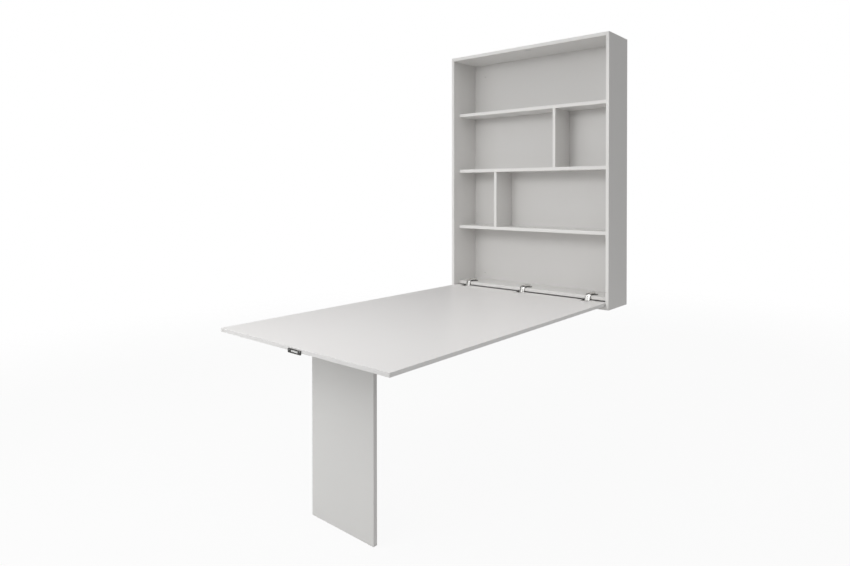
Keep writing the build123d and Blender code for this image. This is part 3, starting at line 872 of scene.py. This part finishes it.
def buildLegHinge(number):
    pinLow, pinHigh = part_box(f"leg_hinge_pin_{number}")
    pivot = (pinLow + pinHigh) / 2
    tableLow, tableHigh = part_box(f"leg_hinge_table_leaf_{number}")
    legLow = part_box(f"leg_hinge_leg_leaf_{number}")[0]
    low, high = tableLow.x, tableHigh.x
    third = (high - low) / 3
    offsets = legHinge["screws"]

    leaf = newShape()
    holes = [circle(pivot.x + x, pivot.y + y, legHinge["hole"]) for x, y in offsets]
    outline = roundedBox(low, high, pivot.y + 4 * mm, tableHigh.y, legHinge["corner"])
    addPlate(leaf, outline, holes, legHinge["leaf"], at(0, 0, tableHigh.z - legHinge["leaf"]), 0.2 * mm)
    for x in (low, high - third + legHinge["gap"]):
        length = third - legHinge["gap"]
        addTube(leaf, legHinge["barrel"], legHinge["pin"], length, at(x, pivot.y, pivot.z, alongX))
        web = roundedBox(x, x + length, pivot.y, pivot.y + 5.5 * mm, 0.4 * mm, 2)
        webZ = tableHigh.z - legHinge["leaf"] - 0.4 * mm
        addPlate(leaf, web, [], legHinge["leaf"], at(0, 0, webZ), 0.2 * mm)
    makePiece(f"legHingeTableLeaf{number}", leaf, nickel, "table", "nickel",
              f"leg_hinge_table_leaf_{number}")

    leaf = newShape()
    holes = [circle(pivot.x + x, pivot.z - y, legHinge["hole"]) for x, y in offsets]
    outline = roundedBox(low, high, legLow.z, pivot.z - 4 * mm, legHinge["corner"])
    flip = at(0, legLow.y + legHinge["leaf"], 0, towardRoom)
    addPlate(leaf, outline, holes, legHinge["leaf"], flip, 0.2 * mm)
    length = third - 0.02 * mm
    bore = legHinge["pin"] + 0.05 * mm
    addTube(leaf, legHinge["barrel"], bore, length, at(low + third, pivot.y, pivot.z, alongX))
    web = roundedBox(low + third, low + third + length, pivot.z - 5.5 * mm, pivot.z, 0.4 * mm, 2)
    webY = legLow.y + legHinge["leaf"] + 0.4 * mm
    addPlate(leaf, web, [], legHinge["leaf"], at(0, webY, 0, towardRoom), 0.2 * mm)
    makePiece(f"legHingeLegLeaf{number}", leaf, nickel, "leg", "nickel", f"leg_hinge_leg_leaf_{number}")

    pin = newShape()
    radius = legHinge["pin"] - 0.02 * mm
    place = at(pinLow.x, pivot.y, pivot.z, alongX)
    addPin(pin, radius, pinHigh.x - pinLow.x, 0.08 * mm, 0.5 * mm, place, 24)
    makePiece(f"legHingePin{number}", pin, zinc, "table", "nickel", f"leg_hinge_pin_{number}")
    return [(pivot.x + x, pivot.y + y, pivot.z - y) for x, y in offsets]


def buildLegHingeScrews(spots):
    sizes = [legHinge[key] for key in ("screwHead", "screwRise", "screwShank", "screwLength")]
    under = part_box("leg_hinge_table_screws")[0].z + 1 * mm
    places = [at(x, y, under, downward) for x, y, _ in spots]
    screwRow("legHingeTableScrews", places, *sizes, "table", "leg_hinge_table_screws", zinc)
    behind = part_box("leg_hinge_leg_screws")[1].y - 1 * mm
    places = [at(x, behind, z, alongY) for x, _, z in spots]
    screwRow("legHingeLegScrews", places, *sizes, "leg", "leg_hinge_leg_screws", zinc)


buildLegHingeScrews([spot for number in legHingeNumbers for spot in buildLegHinge(number)])


def buildGlides():
    low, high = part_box("leg_glides")
    y = (low.y + high.y) / 2
    r = (high.y - low.y) / 2
    shape = newShape()
    for x in (low.x + r, high.x - r):
        foot = [(0, 0), (0.72 * r, 0), (0.9 * r, 0.5 * mm),
                (r, 1.4 * mm), (r, 2.6 * mm), (0.94 * r, 3 * mm)]
        nail = [(1.2 * mm, 3 * mm), (1.2 * mm, 15 * mm), (0, 17 * mm)]
        addLathe(shape, foot + nail, at(x, y, low.z), 36)
    makePiece("legGlides", shape, glideNylon, "leg", "glide_plastic", "leg_glides")


buildGlides()
print("leg fittings made")


# floor, light and camera

studio = {
    "skyAbove": 0.67,       # what the room gives from overhead
    "skyBelow": 0.04,       # and from under the horizon
    "mirrored": 0.16,       # what bright metal sees of it
    "shown": 1.0,           # the white behind everything
    "floorTone": (0.62, 0.62, 0.615),
    "floorLift": 0.93,      # how much of the floor's look is plain white rather than lit
    "floorFull": 2.6,       # metres from the middle where the floor starts to thin out
    "floorGone": 5.5,
}


def buildFloor():
    work = bmesh.new()
    bmesh.ops.create_circle(work, cap_ends=True, segments=96, radius=studio["floorGone"] + 0.5)
    mesh = bpy.data.meshes.new("floor")
    work.to_mesh(mesh)
    work.free()
    floor = bpy.data.objects.new("floor", mesh)
    bpy.context.scene.collection.objects.link(floor)
    floor.location = (0, -0.7, cadLow.z - 0.0005)
    paint, tree, shader, place = newPaint("floor", studio["floorTone"], 0.7)
    shader.inputs["Specular IOR Level"].default_value = 0.1
    smooth = cloud(tree, place, 3.0)
    tint(tree, shader, studio["floorTone"], spread(tree, smooth, 0.3, 0.7, 0.99, 1.01))
    seen = put(tree, "LightPath").outputs["Is Camera Ray"]
    lift = put(tree, "Emission", {"Color": (1, 1, 1, 1), "Strength": 1.0})
    lifted = calc(tree, "MULTIPLY", seen, studio["floorLift"])
    shown = put(tree, "MixShader", {0: lifted, 1: shader.outputs[0], 2: lift.outputs[0]})
    away = put(tree, "VectorMath", {0: place}, operation="LENGTH").outputs["Value"]
    rim = {"Value": away, "From Min": studio["floorFull"], "From Max": studio["floorGone"]}
    fade = put(tree, "MapRange", rim, interpolation_type="SMOOTHSTEP").outputs["Result"]
    under = put(tree, "NewGeometry").outputs["Backfacing"]  # clear from below, so the underside can be seen
    fade = calc(tree, "MAXIMUM", fade, under)
    clear = put(tree, "BsdfTransparent")
    mix = put(tree, "MixShader", {0: fade, 1: shown.outputs[0], 2: clear.outputs[0]})
    tree.links.new(mix.outputs[0], tree.nodes["Material Output"].inputs["Surface"])
    mesh.materials.append(paint)


def buildSky():
    world = bpy.data.worlds.new("studio")
    world.use_nodes = True
    tree = world.node_tree
    ray = put(tree, "LightPath").outputs
    glow = tree.nodes["Background"]
    glow.inputs["Color"].default_value = (1, 1, 1, 1)
    height = put(tree, "SeparateXYZ", {0: put(tree, "TexCoord").outputs["Generated"]}).outputs[2]
    strength = spread(tree, height, -0.15, 0.35, studio["skyBelow"], studio["skyAbove"])
    tree.links.new(strength, glow.inputs["Strength"])
    mirrored = put(tree, "Background", {"Color": (1, 1, 1, 1), "Strength": studio["mirrored"]})
    shown = put(tree, "Background", {"Color": (1, 1, 1, 1), "Strength": studio["shown"]})
    mix = put(tree, "MixShader", {0: ray["Is Glossy Ray"], 1: glow.outputs[0], 2: mirrored.outputs[0]})
    mix = put(tree, "MixShader", {0: ray["Is Camera Ray"], 1: mix.outputs[0], 2: shown.outputs[0]})
    tree.links.new(mix.outputs[0], tree.nodes["World Output"].inputs["Surface"])
    bpy.context.scene.world = world


lamps = [
    {"name": "key", "place": (-2.6, -3.2, 1.0), "aim": (0.0, -0.6, -0.3),
     "width": 1.6, "height": 1.6, "power": 8},
    {"name": "near", "place": (-0.8, -3.6, 1.1), "aim": (-0.1, -1.4, -0.66),
     "width": 1.2, "height": 0.8, "power": 8},
    {"name": "end", "place": (-0.3, -2.2, 0.7), "aim": (0.0, -1.4, -0.66),
     "width": 0.9, "height": 0.9, "power": 10},
    {"name": "low", "place": (-1.3, -3.1, -0.5), "aim": (0.0, -1.3, -1.15),
     "width": 1.1, "height": 0.9, "power": 5.5},
    {"name": "right", "place": (3.6, -1.4, 2.0), "aim": (0.4, -0.2, 0.6),
     "width": 2.0, "height": 1.6, "power": 7},
]


def buildLamps():
    for lamp in lamps:
        light = bpy.data.lights.new(lamp["name"], "AREA")
        light.shape = "RECTANGLE"
        light.size, light.size_y = lamp["width"], lamp["height"]
        light.energy = lamp["power"]
        holder = bpy.data.objects.new(lamp["name"], light)
        holder.location = lamp["place"]
        toward = Vector(lamp["aim"]) - Vector(lamp["place"])
        holder.rotation_euler = toward.to_track_quat("-Z", "Y").to_euler()
        bpy.context.scene.collection.objects.link(holder)


cameraLook = {
    "place": (1.930, -2.615, -0.106),
    "turn": 33.11,          # degrees to the left of straight ahead
    "dip": 0.5,
    "roll": 0.11,
    "lens": 23.94,
    "shiftX": -0.178,
    "shiftY": -0.1007,
}


def buildCamera():
    eye = bpy.data.cameras.new("camera")
    eye.lens = cameraLook["lens"]
    eye.shift_x, eye.shift_y = cameraLook["shiftX"], cameraLook["shiftY"]
    eye.clip_start, eye.clip_end = 0.05, 60
    holder = bpy.data.objects.new("camera", eye)
    turn = Matrix.Rotation(math.radians(cameraLook["turn"]), 4, "Z")
    tip = Matrix.Rotation(math.radians(90 - cameraLook["dip"]), 4, "X")
    roll = Matrix.Rotation(math.radians(cameraLook["roll"]), 4, "Z")
    holder.matrix_world = Matrix.Translation(cameraLook["place"]) @ turn @ tip @ roll
    bpy.context.scene.collection.objects.link(holder)
    bpy.context.scene.camera = holder


buildFloor()
buildSky()
buildLamps()
buildCamera()
bpy.context.scene.view_settings.view_transform = "Standard"
print("studio set")
